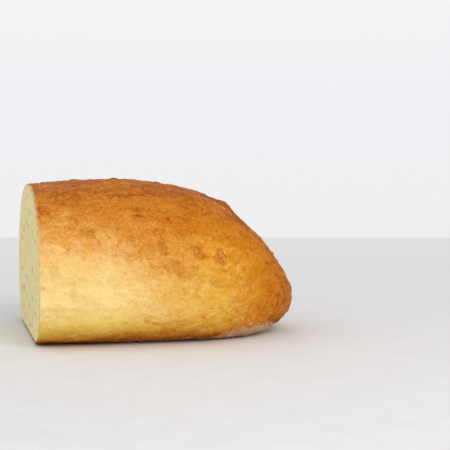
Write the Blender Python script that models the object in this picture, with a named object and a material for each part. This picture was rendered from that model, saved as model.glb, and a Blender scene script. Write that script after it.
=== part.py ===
"""Half of an oval hearth loaf, cut across by hand and lying on its base.

Metres, +Z up. +X runs from the cut face to the baked round end. The origin is on the base,
under the middle of the bounding box. Run it with blender --background --python part.py.
"""

import math
import random

import bmesh
import bpy
from mathutils import Matrix, Vector, noise

# Driving dimensions of the loaf
HALF_LENGTH = 0.177  # from the cut to the round end, along the middle
LOAF_WIDTH = 0.164
LOAF_HEIGHT = 0.099  # at the cut
CUT_SKEW = -0.142  # the knife went through about 8 degrees off square
TIP_HEIGHT = 0.0247  # the round end reaches furthest this far above the base
WIDEST_HEIGHT = 0.0416  # the sides bulge most here
SETTLE = 0.0025  # the round underside is pressed this much flatter by the weight
BASE_PRESS = 0.0004  # and so is its lift towards the round end
CRUST = 0.0016  # thickness of the crust in the cut

# How the outlines round off towards the end: (1 - t ** fall) ** (1 / round)
CROWN_FALL, CROWN_ROUND = 3.84, 1.3
PLAN_FALL, PLAN_ROUND = 3.08, 2.16
BASE_FALL, BASE_ROUND = 9.57, 2.02
UPPER_ROUND, LOWER_ROUND = 2.17, 3.4  # superellipse powers above and below the bulge
CROWN_SWELL = 0.046  # the loaf rises a little more halfway along

# The baker's score runs along the crown and swings to the near side at its end
SCORE_START, SCORE_END = 0.020, 0.146  # from the cut
SCORE_OFFSET = 0.018  # starts this far beyond the middle
SCORE_SWING = 0.058
SCORE_WIDTH, SCORE_DEPTH = 0.0095, 0.0017
SCORE_STEPS, SCORE_SIDES = 22, 10
SCORE_POINT, SCORE_BLUNTNESS = 0.15, 0.6  # share of the width at its ends, how soon it is full
LIP_HEIGHT = 0.0020  # the dough beyond the score lifted in the oven
LIP_REACH = 0.026
LIP_FADE_IN, LIP_FADE_OUT = 0.020, 0.030  # along the score
LIP_LOWEST, LIP_BLEND = 0.4, 0.3  # shares of the height: no lip below, full lip this much above

# Hand-shaped unevenness of the crust: (size of a lump, height)
LUMPS = ((0.052, 0.0013), (0.021, 0.0006))
LUMP_FADE = 0.010  # no lumps on the flat base, full lumps this far above it

# Mesh
RINGS, AROUND = 48, 66
RING_CROWDING = 2.2  # draws the rings together towards the round end
OUTLINE_STEPS = 360
SOFT_RINGS, SOFT_PASSES = 18, 9  # rings at the round end that are rubbed smooth

# Sunflower kernels: length, width and thickness of a whole one
KERNEL = (0.0100, 0.0052, 0.0030)
KERNEL_PROUD = 0.0007
KERNEL_SIDES, KERNEL_RINGS = 8, 4
SMALLEST_KERNEL = 0.75
KERNEL_BLUNT, KERNEL_TAPER = 1.3, 0.7  # share of the width at the wide end, lost to the other
# Kernels that show on the near side: distance from the cut, height, lean from upright
NEAR_KERNELS = (
    (0.021, 0.048, 8),
    (0.032, 0.034, 12),
    (0.034, 0.078, 85),
    (0.041, 0.070, 65),
    (0.070, 0.078, 75),
    (0.084, 0.061, 5),
    (0.095, 0.047, 22),
    (0.106, 0.057, 40),
    (0.117, 0.039, 60),
    (0.121, 0.054, 12),
    (0.097, 0.009, 85),
    (0.150, 0.017, 70),
)
CRUST_KERNELS = 24  # scattered over the rest of the crust
KERNEL_SHARES = (0.09, 0.97)  # of the length
KERNEL_ANGLES = (-20.0, 118.0)  # degrees up from the far side, over the crown
KERNEL_LOWEST = 0.015
KERNEL_SPACING = 0.020
CUT_KERNELS = 14
CUT_REACH = 0.86  # nothing lies nearer to the crust in the cut than this share

# Gas holes that the knife opened
PORES = 40
LARGEST_PORE, SMALLEST_PORE = 0.0031, 0.0012
PORE_SHAPE = (1.45, 0.80, 0.85)  # long, wide and deep shares of its radius
PORE_SHRINK = 0.6  # below 1 there are few large holes and many small ones
PORE_SUNK = 0.25  # the middle of a hole lies this share of its radius below the cut
PORE_ROOM, KERNEL_ROOM = 1.7, 0.65  # kept clear round each, in radii and in kernel lengths
PORE_WALL = 0.0008
FLOW_LOOSENESS = 1.3  # how far holes and kernels stray from the direction of the crust
FINE_PORE = 0.002  # larger holes are modelled finer
SHARP_ANGLE = 24.0
SEED = 11


def clear_scene():
    for obj in list(bpy.data.objects):
        bpy.data.objects.remove(obj, do_unlink=True)


def plain_material(name, colour, roughness):
    material = bpy.data.materials.new(name)
    material.use_nodes = True
    shader = material.node_tree.nodes["Principled BSDF"]
    shader.inputs["Base Color"].default_value = (*colour, 1.0)
    shader.inputs["Roughness"].default_value = roughness
    shader.inputs["Metallic"].default_value = 0.0
    return material


def smooth_step(value):
    value = min(1.0, max(0.0, value))
    return value * value * (3.0 - 2.0 * value)


def rounded(t, fall, power):
    """1 at the cut, 0 at the round end."""
    return max(0.0, 1.0 - t**fall) ** (1.0 / power)


def section(t):
    """Half width, crown, bulge and underside heights at share t of the length."""
    crown = LOAF_HEIGHT * (1.0 + CROWN_SWELL * 4.0 * t * (1.0 - t))
    base_share = rounded(t, BASE_FALL, BASE_ROUND)
    half_width = 0.5 * LOAF_WIDTH * rounded(t, PLAN_FALL, PLAN_ROUND)
    top = TIP_HEIGHT + (crown - TIP_HEIGHT) * rounded(t, CROWN_FALL, CROWN_ROUND)
    bulge = TIP_HEIGHT + (WIDEST_HEIGHT - TIP_HEIGHT) * base_share
    under = max(0.0, TIP_HEIGHT * (1.0 - base_share) - BASE_PRESS)
    return half_width, top, bulge, under


def superellipse(value, power):
    return math.copysign(abs(value) ** (2.0 / power), value)


def section_outline(t):
    """The section at t as (across, up) points, closed, starting under the middle."""
    half_width, top, bulge, under = section(t)
    settle = SETTLE * rounded(t, BASE_FALL, BASE_ROUND)
    points = []
    for i in range(OUTLINE_STEPS + 1):
        angle = 2.0 * math.pi * i / OUTLINE_STEPS - 0.5 * math.pi
        power = UPPER_ROUND if math.sin(angle) >= 0.0 else LOWER_ROUND
        across = half_width * superellipse(math.cos(angle), power)
        lift = superellipse(math.sin(angle), power)
        if lift >= 0.0:
            up = bulge + (top - bulge) * lift
        else:
            up = max(under, bulge + (bulge - under + settle) * lift)
        points.append((across, up))
    return points


def evenly_spaced(points, count):
    """count points at equal distances round a closed outline."""
    reached = [0.0]
    for (y0, z0), (y1, z1) in zip(points, points[1:]):
        reached.append(reached[-1] + math.hypot(y1 - y0, z1 - z0))
    spaced = []
    step = 0
    for i in range(count):
        target = reached[-1] * i / count
        while reached[step + 1] < target:
            step += 1
        share = (target - reached[step]) / (reached[step + 1] - reached[step])
        (y0, z0), (y1, z1) = points[step], points[step + 1]
        spaced.append((y0 + (y1 - y0) * share, z0 + (z1 - z0) * share))
    return spaced


def crust_point(t, across, up):
    """A point of the skewed loaf, measured from the middle of its bounding box."""
    middle = 0.5 * (HALF_LENGTH + CUT_SKEW * 0.5 * LOAF_WIDTH)
    return Vector((t * HALF_LENGTH + CUT_SKEW * across * (1.0 - t) - middle, across, up))


def cut_normal():
    return Vector((-1.0, CUT_SKEW, 0.0)).normalized()


def score_across(along):
    """How far beyond the middle the score runs at this distance from the cut."""
    return SCORE_OFFSET - SCORE_SWING * (along / SCORE_END) ** 3


def lip_relief(along, across, up):
    """The crust just beyond the score stands up and falls away behind."""
    beyond = across - score_across(along)
    if beyond < 0.0 or along < 0.0:
        return 0.0
    ends = smooth_step((along - SCORE_START) / LIP_FADE_IN)
    ends *= smooth_step((SCORE_END - along) / LIP_FADE_OUT)
    on_top = smooth_step((up / LOAF_HEIGHT - LIP_LOWEST) / LIP_BLEND)
    rise = smooth_step(beyond / (0.5 * SCORE_WIDTH))
    fall = 1.0 - smooth_step((beyond - 0.5 * SCORE_WIDTH) / LIP_REACH)
    return LIP_HEIGHT * rise * fall * ends * on_top


def lump_relief(point):
    return sum(height * noise.noise(point / size) for size, height in LUMPS)


def relieved_rows():
    """Rows of crust points from the cut to the round end, with the uneven crust."""
    shares = [1.0 - (1.0 - i / RINGS) ** RING_CROWDING for i in range(RINGS)]
    rows = []
    for t in shares:
        outline = evenly_spaced(section_outline(t), AROUND)
        rows.append([crust_point(t, across, up) for across, up in outline])
    tip = crust_point(1.0, 0.0, TIP_HEIGHT)
    start = crust_point(0.0, 0.0, 0.0).x
    relieved = []
    for i, row in enumerate(rows):
        following = rows[i + 1] if i + 1 < RINGS else [tip] * AROUND
        previous = rows[max(i - 1, 0)]
        new_row = []
        for j, point in enumerate(row):
            along = following[j] - previous[j]
            around = row[(j + 1) % AROUND] - row[j - 1]
            push = around.cross(along).normalized() * lump_relief(point)
            moved = point + push * smooth_step(point.z / LUMP_FADE)
            moved.z += lip_relief(point.x - start, point.y, point.z)
            if i == 0:
                moved = crust_point(0.0, moved.y, moved.z)
            new_row.append(moved)
        relieved.append(new_row)
    return relieved, tip


def loaf_body(crust, crumb):
    """The half loaf as one closed mesh. The cut is a flat cap with a rim of crust."""
    rows, tip = relieved_rows()
    mesh = bmesh.new()
    rings = [[mesh.verts.new(point) for point in row] for row in rows]
    for first, second in zip(rings, rings[1:]):
        for j in range(AROUND):
            k = (j + 1) % AROUND
            mesh.faces.new((first[j], first[k], second[k], second[j]))
    last = mesh.verts.new(tip)
    for j in range(AROUND):
        mesh.faces.new((rings[-1][j], rings[-1][(j + 1) % AROUND], last))
    soft = [vert for ring in rings[-SOFT_RINGS:] for vert in ring] + [last]
    for _ in range(SOFT_PASSES):
        bmesh.ops.smooth_vert(
            mesh, verts=soft, factor=0.5, use_axis_x=True, use_axis_y=True, use_axis_z=True
        )
    cap = mesh.faces.new(list(reversed(rings[0])))
    bmesh.ops.recalc_face_normals(mesh, faces=mesh.faces)
    bmesh.ops.inset_region(mesh, faces=[cap], thickness=CRUST, use_even_offset=True)
    cap.material_index = 1
    return as_object(mesh, "half_loaf", (crust, crumb))


def as_object(mesh, name, materials, collection=None):
    data = bpy.data.meshes.new(name)
    mesh.to_mesh(data)
    mesh.free()
    for material in materials:
        data.materials.append(material)
    obj = bpy.data.objects.new(name, data)
    (collection or bpy.context.scene.collection).objects.link(obj)
    return obj


def facing(normal, lean):
    """Turns a flat thing to lie on a surface, its length this far from upright."""
    return normal.to_track_quat("Z", "X").to_matrix() @ Matrix.Rotation(lean, 3, "Z")


def lay_kernel(collection, material, name, point, normal, lean, size):
    """A flattened drop, bedded in the surface so that only its back stands proud."""
    mesh = bmesh.new()
    bmesh.ops.create_uvsphere(
        mesh, u_segments=KERNEL_SIDES, v_segments=KERNEL_RINGS, radius=0.5
    )
    length, width, thickness = (side * size for side in KERNEL)
    for vert in mesh.verts:
        across, up, lengthwise = vert.co
        taper = KERNEL_BLUNT - KERNEL_TAPER * (lengthwise + 0.5)
        vert.co = (lengthwise * length, across * width * taper, up * thickness)
    bmesh.ops.recalc_face_normals(mesh, faces=mesh.faces)
    kernel = as_object(mesh, name, (material,), collection)
    centre = point - normal * (0.5 * thickness - KERNEL_PROUD)
    kernel.matrix_world = Matrix.Translation(centre) @ facing(normal, lean).to_4x4()


def near_kernels(body, collection, material):
    start_x = crust_point(0.0, 0.0, 0.0).x
    for i, (along, height, lean) in enumerate(NEAR_KERNELS):
        eye = Vector((start_x + along, -LOAF_WIDTH, height))
        hit, point, normal, _ = body.ray_cast(eye, Vector((0.0, 1.0, 0.0)))
        if hit:
            lay_kernel(collection, material, f"near_{i}", point, normal, math.radians(lean), 1.0)


def crust_spots(rng):
    """Places for kernels on the crown, the far side and the round end: t, angle, lean, size."""
    start = crust_point(0.0, 0.0, 0.0).x
    spots, placed = [], []
    while len(spots) < CRUST_KERNELS:
        t = rng.uniform(*KERNEL_SHARES)
        angle = math.radians(rng.uniform(*KERNEL_ANGLES))
        half_width, top, bulge, _ = section(t)
        across = half_width * superellipse(math.cos(angle), UPPER_ROUND)
        up = bulge + (top - bulge) * superellipse(math.sin(angle), UPPER_ROUND)
        point = crust_point(t, across, up)
        lean = rng.uniform(0.0, math.pi)
        size = rng.uniform(SMALLEST_KERNEL, 1.0)
        off_score = point.x - start > SCORE_END + SCORE_WIDTH
        off_score = off_score or abs(across - score_across(point.x - start)) > SCORE_WIDTH
        apart = all((point - other).length > KERNEL_SPACING for other in placed)
        if apart and off_score and up > KERNEL_LOWEST:
            placed.append(point)
            spots.append((t, angle, lean, size))
    return spots


def crust_kernels(body, collection, material, rng):
    for i, (t, angle, lean, size) in enumerate(crust_spots(rng)):
        bulge = section(t)[2]
        aim = Vector((0.0, math.cos(angle), math.sin(angle)))
        middle = crust_point(t, 0.0, bulge)
        hit, point, normal, _ = body.ray_cast(middle, aim)
        if hit:
            lay_kernel(collection, material, f"crust_{i}", point, normal, lean, size)


def cut_spot(rng):
    """A place on the cut face, as (across, up), well inside the crust."""
    half_width, top, bulge, _ = section(0.0)
    angle = rng.uniform(0.0, 2.0 * math.pi)
    share = CUT_REACH * math.sqrt(rng.random())
    rise = (top - bulge) if math.sin(angle) > 0.0 else bulge
    return half_width * share * math.cos(angle), bulge + rise * share * math.sin(angle), share


def cut_features(kernels, holes, kernel_material, crumb, rng):
    """Kernels that the knife met and gas holes that it opened, clear of each other."""
    bulge = section(0.0)[2]
    taken = []
    for i in range(CUT_KERNELS + PORES):
        kernel = i < CUT_KERNELS
        shrink = (max(i - CUT_KERNELS, 0) / PORES) ** PORE_SHRINK
        radius = LARGEST_PORE + (SMALLEST_PORE - LARGEST_PORE) * shrink
        room = KERNEL_ROOM * KERNEL[0] if kernel else PORE_ROOM * radius + PORE_WALL
        across, up, share = cut_spot(rng)
        while any(math.hypot(across - y, up - z) < room + other for y, z, other in taken):
            across, up, share = cut_spot(rng)
        taken.append((across, up, room))
        # The dough was rolled up, so things lie along the crust, loosely so in the middle
        lean = math.atan2(up - bulge, -across)
        lean += rng.uniform(-1.0, 1.0) * (FLOW_LOOSENESS - share)
        spot = crust_point(0.0, across, up)
        if kernel:
            size = rng.uniform(SMALLEST_KERNEL, 1.0)
            lay_kernel(kernels, kernel_material, f"cut_{i}", spot, cut_normal(), lean, size)
        else:
            gas_hole(holes, crumb, f"pore_{i}", spot, lean, radius)


def gas_hole(collection, material, name, spot, lean, radius):
    mesh = bmesh.new()
    fineness = 2 if radius > FINE_PORE else 1
    bmesh.ops.create_icosphere(mesh, subdivisions=fineness, radius=radius)
    bmesh.ops.scale(mesh, vec=PORE_SHAPE, verts=mesh.verts)
    hole = as_object(mesh, name, (material,), collection)
    centre = spot - cut_normal() * PORE_SUNK * radius
    hole.matrix_world = Matrix.Translation(centre) @ facing(cut_normal(), lean).to_4x4()
    hide_cutter(hole)


def score_blade(body, collection, material):
    """A long shallow ellipse swept along the crown, which takes out the score."""
    start_x = crust_point(0.0, 0.0, 0.0).x
    centres, normals = [], []
    for i in range(SCORE_STEPS + 1):
        along = SCORE_START + (SCORE_END - SCORE_START) * i / SCORE_STEPS
        above = Vector((start_x + along, score_across(along), 2.0 * LOAF_HEIGHT))
        _, point, normal, _ = body.ray_cast(above, Vector((0.0, 0.0, -1.0)))
        centres.append(point)
        normals.append(normal)
    mesh = bmesh.new()
    rings = []
    for i, (centre, normal) in enumerate(zip(centres, normals)):
        forward = centres[min(i + 1, SCORE_STEPS)] - centres[max(i - 1, 0)]
        side = normal.cross(forward).normalized()
        fullness = math.sin(math.pi * i / SCORE_STEPS) ** SCORE_BLUNTNESS
        swell = SCORE_POINT + (1.0 - SCORE_POINT) * fullness
        ring = []
        for j in range(SCORE_SIDES):
            angle = 2.0 * math.pi * j / SCORE_SIDES
            offset = side * math.cos(angle) * 0.5 * SCORE_WIDTH * swell
            offset += normal * math.sin(angle) * SCORE_DEPTH * swell
            ring.append(mesh.verts.new(centre + offset))
        rings.append(ring)
    for first, second in zip(rings, rings[1:]):
        for j in range(SCORE_SIDES):
            k = (j + 1) % SCORE_SIDES
            mesh.faces.new((first[j], first[k], second[k], second[j]))
    for ring in (rings[0], rings[-1]):
        mesh.faces.new(ring)
    bmesh.ops.recalc_face_normals(mesh, faces=mesh.faces)
    hide_cutter(as_object(mesh, "score_blade", (material,), collection))


def hide_cutter(obj):
    obj.hide_render = True
    obj.display_type = "WIRE"


def combine(body, collection, operation):
    """Joins or cuts with a whole collection of helpers, applies it and removes them."""
    modifier = body.modifiers.new(operation.lower(), "BOOLEAN")
    modifier.operation = operation
    modifier.operand_type = "COLLECTION"
    modifier.collection = collection
    modifier.solver = "EXACT"
    modifier.material_mode = "TRANSFER"
    bpy.context.view_layer.update()
    graph = bpy.context.evaluated_depsgraph_get()
    result = bpy.data.meshes.new_from_object(body.evaluated_get(graph))
    body.modifiers.remove(modifier)
    old = body.data
    body.data = result
    bpy.data.meshes.remove(old)
    result.name = body.name
    for obj in list(collection.objects):
        bpy.data.objects.remove(obj, do_unlink=True)
    bpy.data.collections.remove(collection)


def helper_collection(name):
    collection = bpy.data.collections.new(name)
    bpy.context.scene.collection.children.link(collection)
    return collection


def main():
    clear_scene()
    rng = random.Random(SEED)
    crust = plain_material("golden_crust", (0.66, 0.33, 0.08), 0.5)
    crumb = plain_material("yellow_crumb", (0.86, 0.73, 0.29), 0.9)
    torn = plain_material("torn_crust", (0.74, 0.47, 0.19), 0.8)
    kernel = plain_material("toasted_kernel", (0.28, 0.19, 0.10), 0.6)
    body = loaf_body(crust, crumb)
    bpy.context.view_layer.update()
    kernels = helper_collection("kernels")
    cutters = helper_collection("cutters")
    near_kernels(body, kernels, kernel)
    crust_kernels(body, kernels, kernel, rng)
    cut_features(kernels, cutters, kernel, crumb, rng)
    score_blade(body, cutters, torn)
    combine(body, cutters, "DIFFERENCE")
    combine(body, kernels, "UNION")
    body.data.shade_smooth()
    body.data.set_sharp_from_angle(angle=math.radians(SHARP_ANGLE))


main()
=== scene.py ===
import math
import random
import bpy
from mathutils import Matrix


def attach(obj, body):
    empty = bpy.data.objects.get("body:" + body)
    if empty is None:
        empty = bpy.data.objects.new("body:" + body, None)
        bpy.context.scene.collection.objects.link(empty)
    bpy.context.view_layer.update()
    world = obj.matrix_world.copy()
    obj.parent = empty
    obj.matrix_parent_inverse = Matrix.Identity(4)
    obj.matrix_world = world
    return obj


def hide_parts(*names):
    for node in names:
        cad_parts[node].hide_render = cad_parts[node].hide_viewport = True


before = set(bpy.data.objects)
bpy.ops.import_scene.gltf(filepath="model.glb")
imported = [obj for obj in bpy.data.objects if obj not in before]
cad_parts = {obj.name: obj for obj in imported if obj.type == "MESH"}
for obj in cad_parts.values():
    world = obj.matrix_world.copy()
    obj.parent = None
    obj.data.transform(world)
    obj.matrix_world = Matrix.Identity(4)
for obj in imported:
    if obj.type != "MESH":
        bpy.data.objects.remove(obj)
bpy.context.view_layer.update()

from types import SimpleNamespace

import bmesh
import bpy
import numpy as np
from mathutils import Matrix, Vector, noise
from mathutils.bvhtree import BVHTree

# Half of an oval hearth loaf, dressed over its solid: +X from the cut to the round end,
# -Y the side towards the camera, all in metres.
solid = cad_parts["half_loaf"]


# Small helpers

def linearColour(hexColour):
    channels = [int(hexColour[i:i + 2], 16) / 255 for i in (1, 3, 5)]
    return (*[c / 12.92 if c <= 0.04045 else ((c + 0.055) / 1.055) ** 2.4 for c in channels], 1.0)


def plug(node, links):
    # links an input of a node to a socket or a wire, or sets it to a value
    for key, value in links.items():
        value = getattr(value, "socket", value)
        if isinstance(value, bpy.types.NodeSocket):
            node.id_data.links.new(value, node.inputs[key])
        else:
            node.inputs[key].default_value = value


def addNode(tree, kind, links=None, **settings):
    node = tree.nodes.new(kind)
    for name, value in settings.items():
        setattr(node, name, value)
    plug(node, links or {})
    return node


class Wire:
    # an output of a node to reckon with: each sign adds the math node that does it
    def __init__(self, socket):
        self.socket = socket


def tap(tree, kind, output=0, links=None, **settings):
    # adds a node and gives one of its outputs as a wire, or all of them
    outputs = addNode(tree, kind, links, **settings).outputs
    return [Wire(socket) for socket in outputs] if output is None else Wire(outputs[output])


def reckon(operation, *operands):
    tree = next(o for o in operands if isinstance(o, Wire)).socket.id_data
    return tap(tree, "ShaderNodeMath", 0, dict(enumerate(operands)), operation=operation)


signs = {"add": "ADD", "sub": "SUBTRACT", "mul": "MULTIPLY", "truediv": "DIVIDE", "pow": "POWER"}
for sign, operation in signs.items():
    setattr(Wire, f"__{sign}__", lambda own, other, kind=operation: reckon(kind, own, other))
    setattr(Wire, f"__r{sign}__", lambda own, other, kind=operation: reckon(kind, other, own))


def within(value, low, high):
    return reckon("MINIMUM", reckon("MAXIMUM", value, low), high)


def rampOf(factor, stops):
    # a colour ramp through hex colours
    ramp = addNode(factor.socket.id_data, "ShaderNodeValToRGB", {"Fac": factor})
    elements = ramp.color_ramp.elements
    while len(elements) < len(stops):
        elements.new(0.5)
    for element, (position, hexColour) in zip(elements, stops):
        element.position = position
        element.color = linearColour(hexColour)
    return Wire(ramp.outputs["Color"])


def mixed(factor, colour, other, blend="MIX"):
    # other is a hex colour or a wire
    if isinstance(other, str):
        other = linearColour(other)
    links = {0: factor, 6: colour, 7: other}
    return tap(factor.socket.id_data, "ShaderNodeMix", 2, links, data_type="RGBA", blend_type=blend)


def newTree(name, sizes):
    tree = bpy.data.node_groups.new(name, "GeometryNodeTree")
    kinds = {int: "NodeSocketInt", float: "NodeSocketFloat", type(None): "NodeSocketMaterial"}
    tree.interface.new_socket("Geometry", in_out="OUTPUT", socket_type="NodeSocketGeometry")
    tree.interface.new_socket("Geometry", in_out="INPUT", socket_type="NodeSocketGeometry")
    for label, value in {**sizes, "Material": None}.items():
        tree.interface.new_socket(label, in_out="INPUT", socket_type=kinds[type(value)])
    entry = tree.nodes.new("NodeGroupInput")
    return tree, {socket.name: Wire(socket) for socket in entry.outputs if socket.name}


def endTree(tree, inputs, mesh):
    realized = tap(tree, "GeometryNodeRealizeInstances", 0, {0: mesh})
    links = {"Geometry": realized, "Material": inputs["Material"]}
    addNode(tree, "NodeGroupOutput", {0: tap(tree, "GeometryNodeSetMaterial", 0, links)})


def growMesh(obj, tree, sizes, material):
    # runs the tree on the object and keeps the result as a plain mesh
    modifier = obj.modifiers.new(tree.name, "NODES")
    modifier.node_group = tree
    for item in tree.interface.items_tree:
        if item.in_out == "INPUT" and item.name in sizes:
            modifier[item.identifier] = sizes[item.name]
        if item.in_out == "INPUT" and item.name == "Material":
            modifier[item.identifier] = material
    bpy.context.view_layer.update()
    graph = bpy.context.evaluated_depsgraph_get()
    grown = bpy.data.meshes.new_from_object(obj.evaluated_get(graph))
    obj.modifiers.remove(modifier)
    obj.data = grown
    grown.name = obj.name
    return obj


def addObject(data, place=(0.0, 0.0, 0.0), turn=(0.0, 0.0, 0.0)):
    obj = bpy.data.objects.new(data.name, data)
    obj.location = place
    obj.rotation_euler = turn
    bpy.context.scene.collection.objects.link(obj)
    return obj


def newMesh(name, points=(), faces=()):
    mesh = bpy.data.meshes.new(name)
    mesh.from_pydata([tuple(p) for p in points], [], faces)
    return addObject(mesh)


def newMaterial(name):
    material = bpy.data.materials.new(name)
    material.use_nodes = True
    tree = material.node_tree
    return tree, tree.nodes["Principled BSDF"], material, tap(tree, "ShaderNodeTexCoord", "Object")


def cloudyMaterial(name, scale, detail, stops, values):
    # one noise runs through the colours; the other values are the same all over
    tree, shader, material, place = newMaterial(name)
    links = {"Vector": place, "Scale": scale, "Detail": detail}
    colour = rampOf(tap(tree, "ShaderNodeTexNoise", "Fac", links), stops)
    plug(shader, {"Base Color": colour, **values})
    return material


def keepAttribute(obj, name, values):
    attribute = obj.data.attributes.new(name, "FLOAT", "POINT")
    attribute.data.foreach_set("value", np.asarray(values, np.float32).ravel())


def smoothStep(value, start=0.0, width=1.0):
    # 0 up to the start and 1 a width further on; a width below nought falls instead
    value = np.clip((value - start) / width, 0.0, 1.0)
    return value * value * (3.0 - 2.0 * value)


def bump(distance, width, power=2.0):
    # 1 in the middle, fading smoothly over the width
    return np.exp(-(np.abs(distance / width) ** power))


def closeMesh(obj, mesh):
    # gives a finished bmesh to its object: no face of many corners, normals outward
    bmesh.ops.recalc_face_normals(mesh, faces=mesh.faces)
    bmesh.ops.triangulate(mesh, faces=[face for face in mesh.faces if len(face.verts) > 4])
    mesh.to_mesh(obj.data)
    mesh.free()
    obj.data.shade_smooth()


def noiseAt(points, size, seed=0.0):
    # Perlin noise of the given lump size at each point, -1 to 1
    offset = Vector((seed * 7.3, seed * 3.1, seed * 5.7))
    scale = 1.0 / size if np.isscalar(size) else Vector([1.0 / s for s in size])
    flat = points.reshape(-1, 3)
    values = [noise.noise(Vector(p * scale) + offset) for p in flat]
    return np.array(values).reshape(points.shape[:-1])


# Camera and light, at the photograph's angle

view = {
    "place": (-0.0395, -0.6732, 0.0981),
    "yaw": 0.131,  # radians, to the right of +Y
    "pitch": 0.040,  # radians, downwards
    "lens": 80.0,
    "sensor": 36.0,
}
studio = {
    "roomLeft": "#edf1f9", "roomRight": "#d0cdca",
    "wall": ((0.05, "#efeff0"), (0.53, "#f0f0f4"), (0.93, "#f5f5f7")),
    "keyPlace": (0.50, -1.20, 0.85), "keyAim": (0.0, 0.0, 0.05), "keySize": 0.9,
    "keyPower": 11.3, "keyColour": "#fff8ee",
    "floorHalf": 1.19, "floorLight": "#e5e6e7", "floorShade": "#e0e0e0", "floorFarPaintedLight": "#f7f8f6",
}


def makeCamera():
    data = bpy.data.cameras.new("camera")
    data.lens = view["lens"]
    data.sensor_width = view["sensor"]
    data.clip_start = 0.01
    turn = (math.pi / 2 - view["pitch"], 0.0, -view["yaw"])
    bpy.context.scene.camera = addObject(data, view["place"], turn)


def makeLights():
    # a pale wall behind, and a dimmer room round the camera that is cooler on the left
    world = bpy.data.worlds.new("paleRoom")
    world.use_nodes = True
    tree = world.node_tree
    direction = tap(tree, "ShaderNodeTexCoord", "Generated")
    x, y, z = tap(tree, "ShaderNodeSeparateXYZ", None, {0: direction})
    room = rampOf(x * 0.5 + 0.5, ((0.1, studio["roomLeft"]), (0.8, studio["roomRight"])))
    wall = rampOf(z * 4.0 + 0.25, studio["wall"])
    plug(tree.nodes["Background"], {"Color": mixed(within(y * 8.0 - 6.4, 0.0, 1.0), room, wall)})
    bpy.context.scene.world = world
    bpy.context.scene.view_settings.view_transform = "Standard"
    data = bpy.data.lights.new("softKey", "AREA")
    data.shape = "DISK"
    data.size = studio["keySize"]
    data.energy = studio["keyPower"]
    data.color = linearColour(studio["keyColour"])[:3]
    aim = Vector(studio["keyAim"]) - Vector(studio["keyPlace"])
    addObject(data, studio["keyPlace"], aim.to_track_quat("-Z", "Y").to_euler())


def makeFloor():
    half = studio["floorHalf"]
    turn = Matrix.Rotation(-view["yaw"], 3, "Z")
    corners = [turn @ Vector((x * half, y * half, 0.0)) for x, y in ((-1, -1), (1, -1), (1, 1), (-1, 1))]
    floor = newMesh("floor", corners, [(0, 1, 2, 3)])
    # painted board, rolled matt: no gloss, one even pale grey with a faint mottle
    tree, shader, material, place = newMaterial("mattPaintedBoard")
    mottle = tap(tree, "ShaderNodeTexNoise", "Fac", {"Vector": place, "Scale": 55.0, "Detail": 5.0})
    colour = rampOf(mottle, ((0.2, studio["floorShade"]), (0.8, studio["floorLight"])))
    # painted light: paler towards the back, to make up for the soft key light falling off there
    _, y, _ = tap(tree, "ShaderNodeSeparateXYZ", None, {0: place})
    back = within(y * 1.1 - 0.1, 0.0, 1.0)
    plug(shader, {"Base Color": mixed(back, colour, studio["floorFarPaintedLight"]), "Roughness": 0.85})
    floor.data.materials.append(material)


makeCamera()
makeLights()
makeFloor()
print("camera, light and floor ready")


# The loaf's shape: the same driving sizes as its solid

loaf = {
    "Half length": 0.177, "Width": 0.164, "Height": 0.099, "Cut skew": -0.142,
    "Tip height": 0.0247, "Widest height": 0.0416, "Settle": 0.0025, "Base press": 0.0004,
    "Crown fall": 3.84, "Crown round": 1.3, "Plan fall": 3.08, "Plan round": 2.16,
    "Base fall": 9.57, "Base round": 2.02, "Upper round": 2.17, "Lower round": 3.4,
    "Crown swell": 0.046, "Rows": 216, "Around": 441, "Crowding": 1.75,
}
tiny = 1e-8  # keeps a division from meeting nought
cutOut = Vector((-1.0, loaf["Cut skew"], 0.0)).normalized()
loaf["Middle"] = 0.5 * (loaf["Half length"] + loaf["Cut skew"] * 0.5 * loaf["Width"])
score = {
    "start": 0.020, "end": 0.146, "offset": 0.018, "swing": 0.058, "width": 0.0095,
    "depth": 0.0010, "fibre": 0.0010, "nearLip": 0.0004, "farLip": 0.0004,
    "ear": 0.0027, "earAt": 0.86, "earLong": 0.042, "ragged": 0.0016, "fade": 0.006,
}


def loafSection(t):
    # half width, crown, bulge and underside heights at share t of the length
    share = {
        part: max(0.0, 1.0 - t ** loaf[f"{part} fall"]) ** (1.0 / loaf[f"{part} round"])
        for part in ("Crown", "Plan", "Base")
    }
    tip = loaf["Tip height"]
    crown = loaf["Height"] * (1.0 + loaf["Crown swell"] * 4.0 * t * (1.0 - t))
    halfWidth = 0.5 * loaf["Width"] * share["Plan"]
    top = tip + (crown - tip) * share["Crown"]
    bulge = tip + (loaf["Widest height"] - tip) * share["Base"]
    under = max(0.0, tip * (1.0 - share["Base"]) - loaf["Base press"])
    return halfWidth, top, bulge, under


def loafPoint(t, across, up):
    along = t * loaf["Half length"] + loaf["Cut skew"] * across * (1.0 - t)
    return Vector((along - loaf["Middle"], across, up))


def superellipse(value, power):
    return math.copysign(abs(value) ** (2.0 / power), value)


def scoreAcross(along):
    return score["offset"] - score["swing"] * (along / score["end"]) ** 3


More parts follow.
